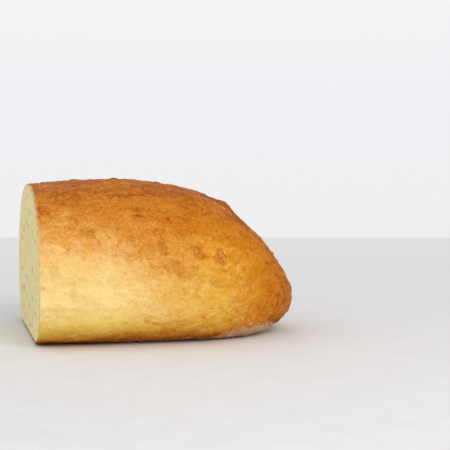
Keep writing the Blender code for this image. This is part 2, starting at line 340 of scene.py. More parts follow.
def makeFormTree():
    # a grid of rows along the loaf and steps round it, set out by the section rule
    tree, size = newTree("loafForm", loaf)
    links = {"Size X": 1.0, "Size Y": 1.0, "Vertices X": size["Rows"], "Vertices Y": size["Around"]}
    grid = tap(tree, "GeometryNodeMeshGrid", "Mesh", links)
    x, y, _ = tap(tree, "ShaderNodeSeparateXYZ", None, {0: tap(tree, "GeometryNodeInputPosition")})
    ahead = (1.0 - (x + 0.5)) ** size["Crowding"]
    t = 1.0 - ahead
    turn = (y + 0.5) * (2.0 * math.pi) - 0.5 * math.pi
    cosine, sine = reckon("COSINE", turn), reckon("SINE", turn)
    wide, tall = reckon("ABSOLUTE", cosine), reckon("ABSOLUTE", sine)
    crownShare, planShare, baseShare = (
        (1.0 - t ** size[f"{part} fall"]) ** (1.0 / size[f"{part} round"])
        for part in ("Crown", "Plan", "Base"))
    tip = size["Tip height"]
    crown = size["Height"] * (t * ahead * 4.0 * size["Crown swell"] + 1.0)
    halfWidth = reckon("MAXIMUM", size["Width"] * 0.5 * planShare, tiny)
    top = (crown - tip) * crownShare + tip
    bulge = (size["Widest height"] - tip) * baseShare + tip
    under = reckon("MAXIMUM", tip * (1.0 - baseShare) - size["Base press"] * baseShare, 0.0)
    depth = bulge - under
    below = size["Settle"] * baseShare + depth
    isUpper = reckon("GREATER_THAN", sine, 0.0)
    reach = reckon("MAXIMUM", isUpper * (top - bulge - below) + below, tiny)
    power = isUpper * (size["Upper round"] - size["Lower round"]) + size["Lower round"]
    free = ((wide / halfWidth) ** power + (tall / reach) ** power) ** (-1.0 / power)
    # the underside is cut off flat
    flat = reckon("MINIMUM", free, depth / reckon("MAXIMUM", tall, 1e-6))
    radius = (1.0 - isUpper) * (flat - free) + free
    across, up = radius * cosine, radius * sine + bulge
    along = t * size["Half length"] + size["Cut skew"] * across * ahead - size["Middle"]
    place = tap(tree, "ShaderNodeCombineXYZ", 0, {0: along, 1: across, 2: up})
    shaped = tap(tree, "GeometryNodeSetPosition", 0, {"Geometry": grid, "Position": place})
    endTree(tree, size, shaped)
    return tree


def gridNormals(points):
    along = np.gradient(points, axis=0)
    ring = points[:, :-1]
    around = np.roll(ring, -1, axis=1) - np.roll(ring, 1, axis=1)
    around = np.concatenate([around, around[:, :1]], axis=1)
    normals = np.cross(around, along)
    # the rows crowd at the pole, so there they lean to the pole's own normal
    reach = np.linalg.norm(normals, axis=2, keepdims=True)
    normals /= np.maximum(reach, 1e-12)
    fromPole = np.arange(len(points))[::-1, None, None]
    normals += (np.array((1.0, 0.0, 0.0)) - normals) * np.clip(1.0 - fromPole / 12.0, 0.0, 1.0)
    return normals / np.maximum(np.linalg.norm(normals, axis=2, keepdims=True), 1e-12)


def blurred(field, spread):
    # Gaussian blur of a grid that closes on itself sideways
    reach = int(3 * spread)
    weights = np.exp(-0.5 * (np.arange(-reach, reach + 1) / spread) ** 2)
    weights /= weights.sum()
    ring = field[:, :-1]
    around = sum(w * np.roll(ring, k, axis=1) for k, w in zip(range(-reach, reach + 1), weights))
    padded = np.pad(around, ((reach, reach), (0, 0)), mode="edge")
    both = sum(w * padded[k:k + len(field)] for k, w in enumerate(weights))
    return np.concatenate([both, both[:, :1]], axis=1)


def fitToSolid(points):
    # how far the solid stands from the bare form, with its facets and kernels blurred away
    tree = BVHTree.FromObject(solid, bpy.context.evaluated_depsgraph_get())
    normals = gridNormals(points)
    start = 0.012
    gap = np.zeros(points.shape[:2])
    for i in range(2, points.shape[0]):
        for j in range(points.shape[1] - 1):
            outside = Vector(points[i, j] + normals[i, j] * start)
            hit, _, _, distance = tree.ray_cast(outside, Vector(-normals[i, j]), 2.0 * start)
            gap[i, j] = start - distance if hit else gap[i, j - 1]
    gap[:2] = gap[2]
    gap[-4:] = np.median(gap[-12:-4])
    gap[:, -1] = gap[:, 0]
    return points + normals * blurred(gap, 5.0)[..., None]


# What is on the crust: kernels under or through the skin, maize spots, the crack by the cut

kernel = {
    "size": (0.0100, 0.0052, 0.0030), "smallest": 0.75, "proud": 0.0001, "cutProud": 0.00015,
    "bare": 0.45, "deeper": 0.0012, "seed": 31,
    "tree": {"Sides": 14, "Rings": 9, "Length": 1.0, "Taper": 0.7},
}
crackLine = {"height": 0.0262, "from": 0.0205, "to": 0.0325, "wide": 0.00035, "wander": 0.0075}
nearKernels = (  # distance from the cut, height, lean from upright, how far the skin is open
    (0.021, 0.048, 8, 0.1), (0.032, 0.034, 12, 0.1), (0.034, 0.078, 85, 0.2), (0.041, 0.070, 65, 0.5),
    (0.070, 0.078, 75, 0.6), (0.084, 0.061, 5, 0.5), (0.095, 0.047, 22, 0.2), (0.106, 0.057, 40, 0.9),
    (0.117, 0.039, 60, 0.3), (0.121, 0.054, 12, 1.0), (0.097, 0.009, 85, 0.3), (0.150, 0.017, 70, 0.5),
)
spread = {"crustKernels": 24, "cutKernels": 14, "pores": 40, "spacing": 0.020, "seed": 11}
maizeSpots = (  # distance from the cut, height, radius
    (0.026, 0.065, 0.0024), (0.041, 0.063, 0.0019), (0.038, 0.055, 0.0011), (0.014, 0.038, 0.0015),
    (0.062, 0.016, 0.0011), (0.110, 0.058, 0.0016), (0.072, 0.057, 0.0012), (0.128, 0.046, 0.0014),
)


def crustSpots(rng):
    # the same draws as the solid's, so each kernel lies where its bump is
    spots, placed = [], []
    while len(spots) < spread["crustKernels"]:
        t = rng.uniform(0.09, 0.97)
        angle = math.radians(rng.uniform(-20.0, 118.0))
        halfWidth, top, bulge, _ = loafSection(t)
        across = halfWidth * superellipse(math.cos(angle), loaf["Upper round"])
        up = bulge + (top - bulge) * superellipse(math.sin(angle), loaf["Upper round"])
        point = loafPoint(t, across, up)
        lean = rng.uniform(0.0, math.pi)
        size = rng.uniform(kernel["smallest"], 1.0)
        along = point.x + loaf["Middle"]
        offScore = along > score["end"] + score["width"] or abs(across - scoreAcross(along)) > score["width"]
        apart = all((point - other).length > spread["spacing"] for other in placed)
        if apart and offScore and up > 0.015:
            placed.append(point)
            spots.append((t, angle, lean, size))
    return spots


def whereHit(points, normals, start, aim, side):
    # the grid point nearest to a line, on the side of the loaf that the line enters or leaves by
    offset = points - np.array(start)
    reach = offset @ np.array(aim)
    apart = np.linalg.norm(offset - reach[..., None] * np.array(aim), axis=2)
    apart[(reach < 0.0) | (side * (normals @ np.array(aim)) < 0.0)] = 1.0
    return np.unravel_index(np.argmin(apart), apart.shape)


def crustKernelPlaces(points, normals, rng):
    # place, outward normal, lean, size and openness of every kernel in the crust
    places = []
    for along, height, lean, openness in nearKernels:
        start = (along - loaf["Middle"], -loaf["Width"], height)
        i = whereHit(points, normals, start, (0.0, 1.0, 0.0), -1.0)
        places.append((Vector(points[i]), Vector(normals[i]), math.radians(lean), 1.0, openness))
    openDraw = random.Random(5)
    for t, angle, lean, size in crustSpots(rng):
        start = loafPoint(t, 0.0, loafSection(t)[2])
        i = whereHit(points, normals, start, (0.0, math.cos(angle), math.sin(angle)), 1.0)
        openness = openDraw.choice((0.15, 0.3, 0.5, 1.0))
        places.append((Vector(points[i]), Vector(normals[i]), lean, size, openness))
    return places


def facing(normal, lean):
    return normal.to_track_quat("Z", "X").to_matrix() @ Matrix.Rotation(lean, 3, "Z")


def bakeAndShadeLevel(points):
    # how brown the crust is, 0 to 1: pale low on the flank, brown on the crown and round the end; round the
    # end, part of the brown is painted shade
    share = (points[..., 0] + loaf["Middle"]) / loaf["Half length"]
    height = points[..., 2]
    rise = np.clip((height - 0.035) / 0.065, 0.0, 1.0)
    crown = 0.11 + 0.76 * (0.4 * rise + 0.6 * smoothStep(rise))
    # browner towards the round end: partly baked darker, partly painted shade where the end turns from the
    # light and the loaf's other half shaded it
    end = 0.28 * smoothStep(share, 0.27, 0.26) + 0.46 * smoothStep(share, 0.66, 0.30)
    ragged = 0.0032 * noiseAt(points, (0.011, 0.007, 0.004), 16.0)
    foot = bump(np.maximum(height + ragged, 0.0), 0.0065, 1.7)
    tanned = 0.12 * bump(share - 0.36, 0.11) * bump(height - 0.054, 0.014)
    # painted shade: darker low round the end, standing for the shadow that the loaf's other half cast there
    shadeUnderEnd = 0.30 * smoothStep(share, 0.74, 0.20) * smoothStep(height, 0.030, -0.020)
    pale = 1.0
    for browned in (crown, end, foot, tanned, shadeUnderEnd):
        pale = pale * (1.0 - browned)
    return 1.0 - pale


def goldenShare(points):
    # how far the crust's yellow is burnt to gold: low on the flank and round the end
    share = (points[..., 0] + loaf["Middle"]) / loaf["Half length"]
    low = smoothStep(points[..., 2], 0.028, -0.020)
    return np.maximum(low, smoothStep(share, 0.36, 0.34))


def scoreMarks(points, up):
    # the score's relief, and where it is torn, dusty, and darkened by scorching and by painted shade
    along, across = points[..., 0] + loaf["Middle"], points[..., 1]
    share = np.clip((along - score["start"]) / (score["end"] - score["start"]), 0.0, 1.0)
    swell = 0.15 + 0.85 * np.sin(math.pi * share) ** 0.6
    ragged = score["ragged"] * (noiseAt(points, 0.009, 1.0) + 0.6 * noiseAt(points, 0.0035, 2.0))
    slope = 3.0 * score["swing"] / score["end"] * (np.maximum(along, 0.0) / score["end"]) ** 2
    # q runs from -1 at the near lip to 1 at the far one
    q = (across - scoreAcross(np.maximum(along, 0.0)) + ragged) / np.sqrt(1.0 + slope ** 2)
    q /= 0.5 * score["width"] * swell
    here = smoothStep(along, score["start"], score["fade"])
    here = here * smoothStep(along, score["end"], -score["fade"]) * (up > 0.15)
    floor = here * np.clip(1.0 - q ** 2, 0.0, 1.0)
    ear = here * bump(q - 1.5, 0.55) * bump(share - score["earAt"], score["earLong"])
    relief = score["ear"] * ear - score["depth"] * floor
    relief += score["fibre"] * floor * noiseAt(points, (0.0046, 0.0028, 0.0028), 22.0)
    relief += here * (score["nearLip"] * bump(q + 1.25, 0.35) + score["farLip"] * bump(q - 1.35, 0.5))
    nearEnd = smoothStep(share, 0.55, 0.25)
    torn = here * smoothStep(q, -1.2, 0.4) * smoothStep(q, 1.9, -0.5) * (1.0 - 0.92 * nearEnd)
    # darker: the near lip scorched; round the far lip and the ear towards the end, scorched crust together
    # with painted shade under the lifted ear
    scorchedAndShaded = here * (bump(q + 1.25, 0.3) + nearEnd * bump(q - 1.4, 0.6)) + 0.8 * ear
    dusty = here * nearEnd * bump(q + 1.2, 1.9) * smoothStep(share, 0.95, -0.1)
    return relief, torn, scorchedAndShaded, dusty


skinRise = {  # heights of the skin's relief
    "dents": 0.00042, "wrinkles": 0.00020, "grain": 0.00012, "pebbles": 0.00018, "brownPebbles": 0.00012,
    "blisters": 0.00040, "crease": 0.00042, "creaseLip": 0.00025, "fold": 0.0005, "overKernel": 0.00062,
    "roundKernel": 0.00022, "bareKernel": 0.0004, "maize": 0.0003, "caked": 0.0005, "spare": 0.0003,
}


def skinRelief(points, flat, brown):
    # dents, lengthwise wrinkles, creases and a pebbled skin, with small blisters where it is brown
    along, height = flat[..., 0], points[..., 2]
    tilted = flat.copy()
    tilted[..., 1] += 0.3 * along
    wrinkles = noiseAt(tilted, (0.022, 0.0056, 1.0), 4.0) + 0.6 * noiseAt(tilted, (0.012, 0.0034, 1.0), 11.0)
    relief = skinRise["dents"] * noiseAt(points, (0.020, 0.013, 0.013), 3.0) + skinRise["wrinkles"] * wrinkles
    relief += (skinRise["pebbles"] + skinRise["brownPebbles"] * brown) * noiseAt(points, 0.0052, 5.0)
    relief += skinRise["grain"] * noiseAt(points, 0.0029, 6.0)
    line = noiseAt(flat, (0.034, 0.011, 1.0), 15.0)
    crease = skinRise["creaseLip"] * bump(line - 0.16, 0.09) - skinRise["crease"] * bump(line, 0.075)
    relief += crease * smoothStep(noiseAt(points, 0.024, 17.0), 0.02, 0.25)
    relief *= smoothStep(height / 0.004)
    blistered = smoothStep(noiseAt(points, 0.0034, 7.0), 0.30, 0.2) * smoothStep(brown, 0.35, 0.3)
    # a soft fold low on the near side, below the crack that the material draws
    below = smoothStep(height, crackLine["height"], -0.004) * smoothStep(height, 0.012, 0.008)
    fold = (points[..., 1] < 0.0) * below * smoothStep(along, 0.085, -0.04) * smoothStep(along / 0.01)
    return relief + skinRise["blisters"] * blistered - skinRise["fold"] * fold


def kernelRelief(points, kernels, fields):
    # a kernel lifts the skin and sinks it round about; where it is open the kernel's own mesh shows
    relief = np.zeros(points.shape[:2])
    blotches = noiseAt(points, 0.0030, 19.0)
    patchy = np.clip(0.5 + noiseAt(points, 0.0042, 20.0), 0.0, 1.0)
    halfLength, halfWidth = 0.525 * kernel["size"][0], 0.55 * kernel["size"][1]
    for place, normal, lean, size, openness in kernels:
        isOpen = openness > kernel["bare"]
        local = (points - np.array(place)) @ np.array(facing(normal, lean))
        r2 = (local[..., 0] / (halfLength * size)) ** 2 + (local[..., 1] / (halfWidth * size)) ** 2
        r2 = np.sqrt(r2 ** 2 + (local[..., 2] / 0.004) ** 4)
        dome = skinRise["overKernel"] * np.sqrt(np.clip(1.0 - r2, 0.0, 1.0))
        relief += (dome - skinRise["roundKernel"] * bump(r2 - 1.5, 0.6)) * (0.3 if isOpen else 1.0)
        r2 += 0.5 * blotches  # skin closes over a kernel unevenly
        relief -= skinRise["bareKernel"] * isOpen * bump(r2 - 0.5, 0.6) * (0.4 + 1.2 * patchy)
        ring = bump(r2 - 0.8, 0.35) * (0.15 + 0.85 * openness) * (0.5 + 0.9 * patchy)
        fields["halo"] = np.maximum(fields["halo"], ring)
        seen = smoothStep(r2, 0.65, -0.5) * (0.2 + 0.8 * openness)
        fields["seed"] = np.maximum(fields["seed"], seen)
    return relief


def knifeEdge(points, along):
    # where the knife wore the crust's edge pale
    fromCut = along - loaf["Cut skew"] * points[..., 1]
    worn = bump(fromCut, 0.0022) * bump(points[..., 2] - 0.031, 0.010) * (points[..., 1] < 0.0)
    edge = 0.9 * worn * smoothStep(noiseAt(points, 0.0026, 21.0), -0.3, 0.4)
    edge[0] = smoothStep(points[0, :, 2], 0.003, 0.006)
    return edge


def shapeCrust(points, kernels):
    # relief that a grid of about a millimetre can hold, and the fields that colour the crust
    normals = gridNormals(points)
    along, across, height = points[..., 0] + loaf["Middle"], points[..., 1], points[..., 2]
    around = np.broadcast_to(np.linspace(0.0, 0.45, points.shape[1]), height.shape)
    flat = np.stack([along, around, np.zeros(height.shape)], axis=-1)
    brown = bakeAndShadeLevel(points)
    fields = {name: np.zeros(height.shape) for name in ("halo", "seed", "maize")}
    relief, fields["torn"], scorchedAndShaded, dusty = scoreMarks(points, normals[..., 2])
    relief += skinRelief(points, flat, brown) + kernelRelief(points, kernels, fields)
    for distance, up, radius in maizeSpots:
        spot = bump((along - distance) ** 2 + (height - up) ** 2, radius ** 2, 2.5) * (across < 0.0)
        fields["maize"] = np.maximum(fields["maize"], spot)
        relief += skinRise["maize"] * spot

    # flour baked on round the base, most towards the round end
    share = np.clip(along / loaf["Half length"], 0.0, 1.0)
    lift = 0.0045 + 0.012 * smoothStep(share, 0.64, 0.16)
    floury = 0.10 + 0.90 * smoothStep(share, 0.54, 0.16) + 0.60 * bump(share - 0.46, 0.12)
    floury = np.minimum(floury, 1.0) * (1.0 - 0.8 * smoothStep(share, 0.86, 0.06))
    fields["flour"] = np.maximum(smoothStep((lift - height) / lift) * floury, 0.45 * dusty)
    caked = smoothStep(noiseAt(points, 0.0032, 8.0), 0.05, 0.3) * smoothStep(height, 0.007, -0.004)
    relief += skinRise["caked"] * caked * (height > 0.0006)

    level = brown + 0.07 * noiseAt(points, (0.026, 0.014, 0.014), 9.0)
    level += 0.07 * noiseAt(flat, (0.016, 0.0075, 1.0), 10.0) + 0.25 * scorchedAndShaded
    level -= 0.28 * fields["torn"] * (brown > 0.4)
    fields.update(bake=np.clip(level, 0.0, 1.0), golden=goldenShare(points), edge=knifeEdge(points, along))
    for field in (*fields.values(), relief):
        field[:, -1] = field[:, 0]
    relief *= smoothStep(np.arange(len(points))[::-1, None] / 14.0)
    relief -= skinRise["spare"] * smoothStep(height / 0.004)  # no bump stands out of the solid's box
    shaped = points + normals * relief[..., None]
    shaped[0] = points[0]
    return shaped, fields


# Materials

def fieldsOf(tree, names):
    return [tap(tree, "ShaderNodeAttribute", "Fac", attribute_name=name) for name in names]


crustLook = {
    "stops": (
        (0.00, "#f4dc96"), (0.14, "#eece84"), (0.30, "#e9bd70"), (0.45, "#dea456"),
        (0.60, "#d08a38"), (0.75, "#c7791f"), (0.88, "#b56716"), (1.00, "#8a3d0a"),
    ),
    "gold": "#f6efa0", "torn": "#dcaa66", "flour": "#e0c2a4", "maize": "#e8942a", "seed": "#9e7434",
    # the crack's colour is painted shade inside the thin crack
    "glint": "#f2d6a8", "knifeEdge": "#f7e6a6", "crack": "#a8884e", "wisp": "#fbeebc",
}
# the crumb's colours run from pale to a deep olive; the olive end is painted shade in the holes
crumbLook = {"stops": ((0.10, "#f8ebb2"), (0.32, "#f1df9a"), (0.60, "#f2d870"), (1.0, "#c9b25c"))}
kernelLook = {
    "inCrumb": ((0.25, "#a98c58"), (0.5, "#c6aa78"), (0.75, "#dcc598")), "skin": "#8f7144",
    "inCrust": ((0.25, "#95500f"), (0.5, "#c47a28"), (0.75, "#e2a85c")),
}


def crustWires(tree, place):
    # what the crust's rules read: the fields that the mesh carries, and noises in real sizes
    names = ("bake", "golden", "torn", "halo", "seed", "maize", "flour", "edge")
    skin = SimpleNamespace(**dict(zip(names, fieldsOf(tree, names))))
    skin.x, skin.y, skin.z = tap(tree, "ShaderNodeSeparateXYZ", None, {0: place})
    # wandering coordinates, so that no noise shows its grid; streaks run along the loaf
    drift = tap(tree, "ShaderNodeTexNoise", "Color", {"Vector": place, "Scale": 90.0, "Detail": 2.0})
    centred = tap(tree, "ShaderNodeVectorMath", 0, {0: drift, 1: (0.5, 0.5, 0.5)}, operation="SUBTRACT")
    links = {0: centred, 1: (0.008, 0.008, 0.008), 2: place}
    wandering = tap(tree, "ShaderNodeVectorMath", 0, links, operation="MULTIPLY_ADD")
    streaked = tap(tree, "ShaderNodeMapping", 0, {"Vector": wandering, "Scale": (0.42, 1.0, 1.0)})
    links = {"Vector": wandering, "Rotation": (0.0, 0.35, 0.0), "Scale": (0.5, 1.0, 1.3)}
    tilted = tap(tree, "ShaderNodeMapping", 0, links)
    noises = {  # name: coordinates, lumps to a metre, detail, roughness
        "broad": (streaked, 85.0, 2.0, 0.5), "mottle": (streaked, 210.0, 3.0, 0.6),
        "blotch": (wandering, 150.0, 1.0, 0.5), "grain": (place, 980.0, 2.0, 0.65),
        "wrinkle": (tilted, 300.0, 2.0, 0.5), "dust": (place, 420.0, 4.0, 0.65),
        "cluster": (place, 60.0, 1.0, 0.5), "wisp": (tilted, 150.0, 3.0, 0.6),
    }
    for name, values in noises.items():
        links = dict(zip(("Vector", "Scale", "Detail", "Roughness"), values))
        setattr(skin, name, tap(tree, "ShaderNodeTexNoise", "Fac", links))
    pebbles = addNode(tree, "ShaderNodeTexVoronoi", {"Vector": wandering, "Scale": 430.0})
    skin.pebble, skin.flake = Wire(pebbles.outputs["Distance"]), Wire(pebbles.outputs["Color"])
    cells = addNode(tree, "ShaderNodeTexVoronoi", {"Vector": place, "Scale": 760.0})
    skin.cell = Wire(cells.outputs["Distance"])
    links = {"Vector": cells.outputs["Position"]}
    skin.pick = tap(tree, "ShaderNodeTexWhiteNoise", "Value", links, noise_dimensions="3D")
    return skin


def crustLevel(skin):
    # how brown: the baked level, mottled more strongly where it is browner
    coarse = (skin.broad - 0.5) * 0.26 + (skin.mottle - 0.5) * 0.40 + (skin.wrinkle - 0.5) * 0.20
    coarse += within(skin.blotch * 2.6 - 1.6, 0.0, 0.12)
    # the fine grain of the skin: flakes, pebbles and a few dark pits; the pits and the pebbles' low edges are
    # painted darker, as shade in these hollows
    skin.pit = reckon("GREATER_THAN", skin.flake, 0.80) * reckon("LESS_THAN", skin.pebble, 0.34)
    fine = (skin.grain - 0.5) * 0.50 + (skin.pebble - 0.5) * 0.20
    fine += (skin.flake - 0.5) * 0.14 + skin.pit * 0.16
    mottled = fine * (skin.bake * 0.72 + 0.42) + coarse * (skin.bake * 0.45 + 0.62) + skin.bake
    return skin.halo * 0.28 + reckon("MINIMUM", mottled, 0.93)


def crustFolds(skin):
    # folds of the skin where it is pale: fine paler ridges
    fold = reckon("MAXIMUM", reckon("ABSOLUTE", skin.wisp - 0.5) * -26.0 + 1.0, 0.0)
    return fold * within(skin.broad * 5.0 - 2.1, 0.0, 1.0) * within(skin.bake * -2.2 + 1.35, 0.0, 1.0)


def crustGlints(skin):
    # glints of tiny blisters, 0.5 to 0.8 mm, in loose clusters on the browner parts
    crowding = reckon("MAXIMUM", skin.cluster * 1.6 - 0.62, 0.0) * skin.bake
    chosen = reckon("GREATER_THAN", skin.pick, crowding * -0.34 + 0.993)
    # two more chances of each cell, for its glint's size and shine
    sizeChance, shineChance = (reckon("FRACT", skin.pick * prime) for prime in (61.0, 173.0))
    glint = chosen * reckon("LESS_THAN", skin.grain * -0.6 + skin.cell, sizeChance * 0.30 - 0.14)
    return glint, glint * (shineChance * 0.52 + 0.08)


def crustCrack(skin):
    # the thin broken crack by the cut: how near a point is to its wandering line; the crack is painted dark,
    # as shade inside it
    line = (skin.mottle - 0.5) * crackLine["wander"] + crackLine["height"]
    near = 1.0 - reckon("ABSOLUTE", skin.z - line) / crackLine["wide"]
    afterStart = reckon("GREATER_THAN", skin.x, crackLine["from"] - loaf["Middle"])
    beforeEnd = reckon("LESS_THAN", skin.x, crackLine["to"] - loaf["Middle"])
    here = reckon("LESS_THAN", skin.y, 0.0) * afterStart * beforeEnd
    return reckon("MAXIMUM", near, 0.0) * reckon("MAXIMUM", skin.grain * 2.4 - 0.85, 0.0) * here


def bakedCrust():
    # wheat crust baked on a hearth: a thin dry skin, satin where it browned, floury at the foot
    tree, shader, material, place = newMaterial("bakedWheatCrust")
    skin = crustWires(tree, place)
    level, folds, crack = crustLevel(skin), crustFolds(skin), crustCrack(skin)
    glint, shine = crustGlints(skin)
    dusted = within((skin.flour * 0.62 - 0.70 + skin.dust) * 3.0, 0.0, 0.55)  # clumps of 2 mm
    tornShare = reckon("MINIMUM", skin.grain * 1.2 + skin.wrinkle * 2.2 - 1.15, 0.85)
    colour = mixed(skin.golden, rampOf(level, crustLook["stops"]), crustLook["gold"], "MULTIPLY")
    layers = {
        "wisp": folds * 0.40, "maize": skin.maize * 0.78, "seed": skin.seed * 0.58,
        "torn": skin.torn * tornShare, "crack": crack, "glint": shine, "flour": dusted,
        "knifeEdge": skin.edge * 0.82,
    }
    for look, share in layers.items():
        colour = mixed(share, colour, crustLook[look])
    height = skin.grain * 0.95 + skin.mottle + skin.wrinkle * 0.5 - skin.pebble * 0.8 - skin.pit * 0.5
    height += folds * 0.30 + glint * 0.35 - crack * 0.8
    bumpLinks = {"Height": height, "Strength": skin.bake * 0.50 + 0.42, "Distance": 0.0006}
    plug(shader, {
        "Base Color": colour, "Roughness": dusted * 0.4 + skin.bake * -0.20 + 0.66, "IOR": 1.45,
        "Specular IOR Level": 0.06, "Normal": tap(tree, "ShaderNodeBump", 0, bumpLinks),
    })
    return material


def openCrumb():
    # soft yellow crumb, sawn: matt, light scatters in the thin walls, and the holes are painted a deeper
    # olive as shade
    tree, shader, material, place = newMaterial("sawnYellowCrumb")
    hole, rim, bake, golden = fieldsOf(tree, ("hole", "rim", "bake", "golden"))
    # cells of 0.6 mm between the holes that the mesh itself has
    cell = tap(tree, "ShaderNodeTexVoronoi", "Distance", {"Vector": place, "Scale": 1300.0})
    soft = tap(tree, "ShaderNodeTexNoise", "Fac", {"Vector": place, "Scale": 130.0, "Detail": 3.0})
    # the colour deepens with a hole's depth, and a little in the low edges of the fine cells: painted shade
    # in these hollows
    colour = rampOf(hole * 0.85 + soft * 0.5 + cell * 0.35 - 0.10, crumbLook["stops"])
    crust = mixed(golden, rampOf(bake, crustLook["stops"]), crustLook["gold"], "MULTIPLY")
    bumpLinks = {"Height": cell * -1.0, "Strength": 0.6, "Distance": 0.0004}
    plug(shader, {
        "Base Color": mixed(rim, colour, crust), "Roughness": 0.9, "Specular IOR Level": 0.2,
        "Sheen Weight": 0.25, "Sheen Roughness": 0.6, "Subsurface Weight": 0.25,
        "Subsurface Radius": (0.0016, 0.0011, 0.0005), "Subsurface Scale": 1.0,
        "Normal": tap(tree, "ShaderNodeBump", 0, bumpLinks),
    })
    return material


def toastedKernel():
    # sunflower kernel, hulled and baked: matt, grey in the crumb and toasted brown in the crust
    tree, shader, material, place = newMaterial("toastedSunflowerKernel")
    x, y, _ = tap(tree, "ShaderNodeSeparateXYZ", None, {0: place})
    fromCut = x - y * loaf["Cut skew"] + loaf["Middle"]
    streaks = tap(tree, "ShaderNodeTexNoise", "Fac", {"Vector": place, "Scale": 700.0, "Detail": 4.0})
    # a thin brown skin shows as the outline of a kernel that the knife cut
    skin = within(fromCut * 5500.0 + 0.35, 0.0, 0.62)
    inCrumb = mixed(skin, rampOf(streaks, kernelLook["inCrumb"]), kernelLook["skin"])
    toasted = reckon("GREATER_THAN", fromCut, 0.004)
    bumpLinks = {"Height": streaks, "Strength": 0.4, "Distance": 0.0003}
    plug(shader, {
        "Base Color": mixed(toasted, inCrumb, rampOf(streaks, kernelLook["inCrust"])), "Roughness": 0.6,
        "Specular IOR Level": 0.2, "Normal": tap(tree, "ShaderNodeBump", 0, bumpLinks),
    })
    return material


def cookedMaize():
    # coarse maize grit, soaked and baked: glassy deep yellow
    glow = {"Subsurface Weight": 0.2, "Subsurface Radius": (0.001, 0.0006, 0.0002), "Subsurface Scale": 1.0}
    yellows = ((0.3, "#e8b222"), (0.7, "#f6d24a"))
    return cloudyMaterial("cookedMaizeGrit", 500.0, 2.0, yellows, {"Roughness": 0.38, **glow})


def bakedFlour():
    # flour that caked on the hearth: dry, chalky, a little pink from the crust under it
    chalky = ((0.3, "#cfae8e"), (0.7, "#ecdccb"))
    return cloudyMaterial("cakedFlour", 900.0, 3.0, chalky, {"Roughness": 0.95})


# The crust

rng = random.Random(spread["seed"])


def ontoCut(points):
    # the cut is one plane, whatever the relief did to its edge, and nothing is below the base
    points[0, :, 0] = loaf["Cut skew"] * points[0, :, 1] - loaf["Middle"]
    points[..., 2] = np.maximum(points[..., 2], 0.0)
    points[:, -1] = points[:, 0]


def makeCrust():
    crust = newMesh("loafCrust")
    material = bakedCrust()
    growMesh(crust, makeFormTree(), loaf, material)
    rows, around = loaf["Rows"], loaf["Around"]
    flat = np.zeros(rows * around * 3)
    crust.data.vertices.foreach_get("co", flat)
    points = flat.reshape(rows, around, 3)
    points[-1] = points[-1, 0]
    print("crust form laid out")
    points = fitToSolid(points)
    points[-1] = points[-2].mean(axis=0)
    ontoCut(points)
    kernels = crustKernelPlaces(points, gridNormals(points), rng)
    points, fields = shapeCrust(points, kernels)
    # the knife tears small crumbs of crust off the edge of the cut
    edge = points[0].copy()
    torn = cut["worn"] + cut["jagged"] * noiseAt(edge, 0.0021, 18.0)[:-1, None]
    points[0, :-1, 1:] = inset(edge[:-1, 1:], torn)
    ontoCut(points)
    crust.data.vertices.foreach_set("co", points.ravel())
    for name, values in fields.items():
        keepAttribute(crust, name, values)
    closeCut(crust, edge)
    print("crust shaped:", len(crust.data.polygons), "faces")
    return crust, edge, kernels


cut = {"rimIn": 0.0007, "rimBack": 0.00025, "seat": 0.0042, "tuck": 0.0018, "worn": 0.00045, "jagged": 0.0005}


def inset(outline, distance):
    # moves an outline of (across, up) points inwards
    tangent = np.roll(outline, -1, axis=0) - np.roll(outline, 1, axis=0)
    inward = np.stack([-tangent[:, 1], tangent[:, 0]], axis=1)
    inward /= np.linalg.norm(inward, axis=1, keepdims=True)
    return outline + inward * distance


def cutPlane(across, up, proud):
    # a point of the cut plane, moved out of it by proud
    base = np.stack([loaf["Cut skew"] * across - loaf["Middle"], across, up], axis=-1)
    return base + np.array(cutOut) * np.asarray(proud)[..., None]


def closeCut(crust, edge):
    # turns the open end inwards as a thin rim, then a seat for the crumb, and closes it
    mesh = bmesh.new()
    mesh.from_mesh(crust.data)
    mesh.verts.ensure_lookup_table()
    around = loaf["Around"] - 1
    ring = [mesh.verts[j] for j in range(around)]
    outline = edge[:-1, 1:3]
    for back, inwards in ((cut["rimBack"], cut["rimIn"]), (cut["seat"], cut["rimIn"] + cut["tuck"])):
        narrow = inset(outline, inwards)
        places = cutPlane(narrow[:, 0], narrow[:, 1], np.full(around, -back))
        following = [mesh.verts.new(place, old) for old, place in zip(ring, places)]
        for j in range(around):
            k = (j + 1) % around
            mesh.faces.new((ring[j], following[j], following[k], ring[k]))
        ring = following
    mesh.faces.new(ring)
    bmesh.ops.remove_doubles(mesh, verts=mesh.verts, dist=1e-6)
    bmesh.ops.dissolve_degenerate(mesh, edges=mesh.edges, dist=1e-7)
    closeMesh(crust, mesh)


crust, cutEdge, crustKernels = makeCrust()


# The cut face: crumb with its holes, one closed slab seated in the crust

crumb = {
    "steps": 296, "edge": 0.00035, "thickness": 0.0046, "cell": 0.0002,
    "holeLarge": 0.0031, "holeSmall": 0.0012, "holeShape": (1.45, 0.80, 0.85),
    # pores: how many, smallest and largest radius, depth to the radius
    "mid": (300, (0.00060, 0.00115), 1.0), "small": (3600, (0.00032, 0.00060), 0.9),
    "rimWidth": 0.0017, "baseRim": 0.0031, "reach": 0.86, "sunk": 0.00005, "deepest": 0.0016,
    # no pore comes nearer to a kernel than clear; round a kernel the crumb is calm and a little lower
    "clear": 0.004, "calm": 0.0045, "calmDepth": 0.0002,
}


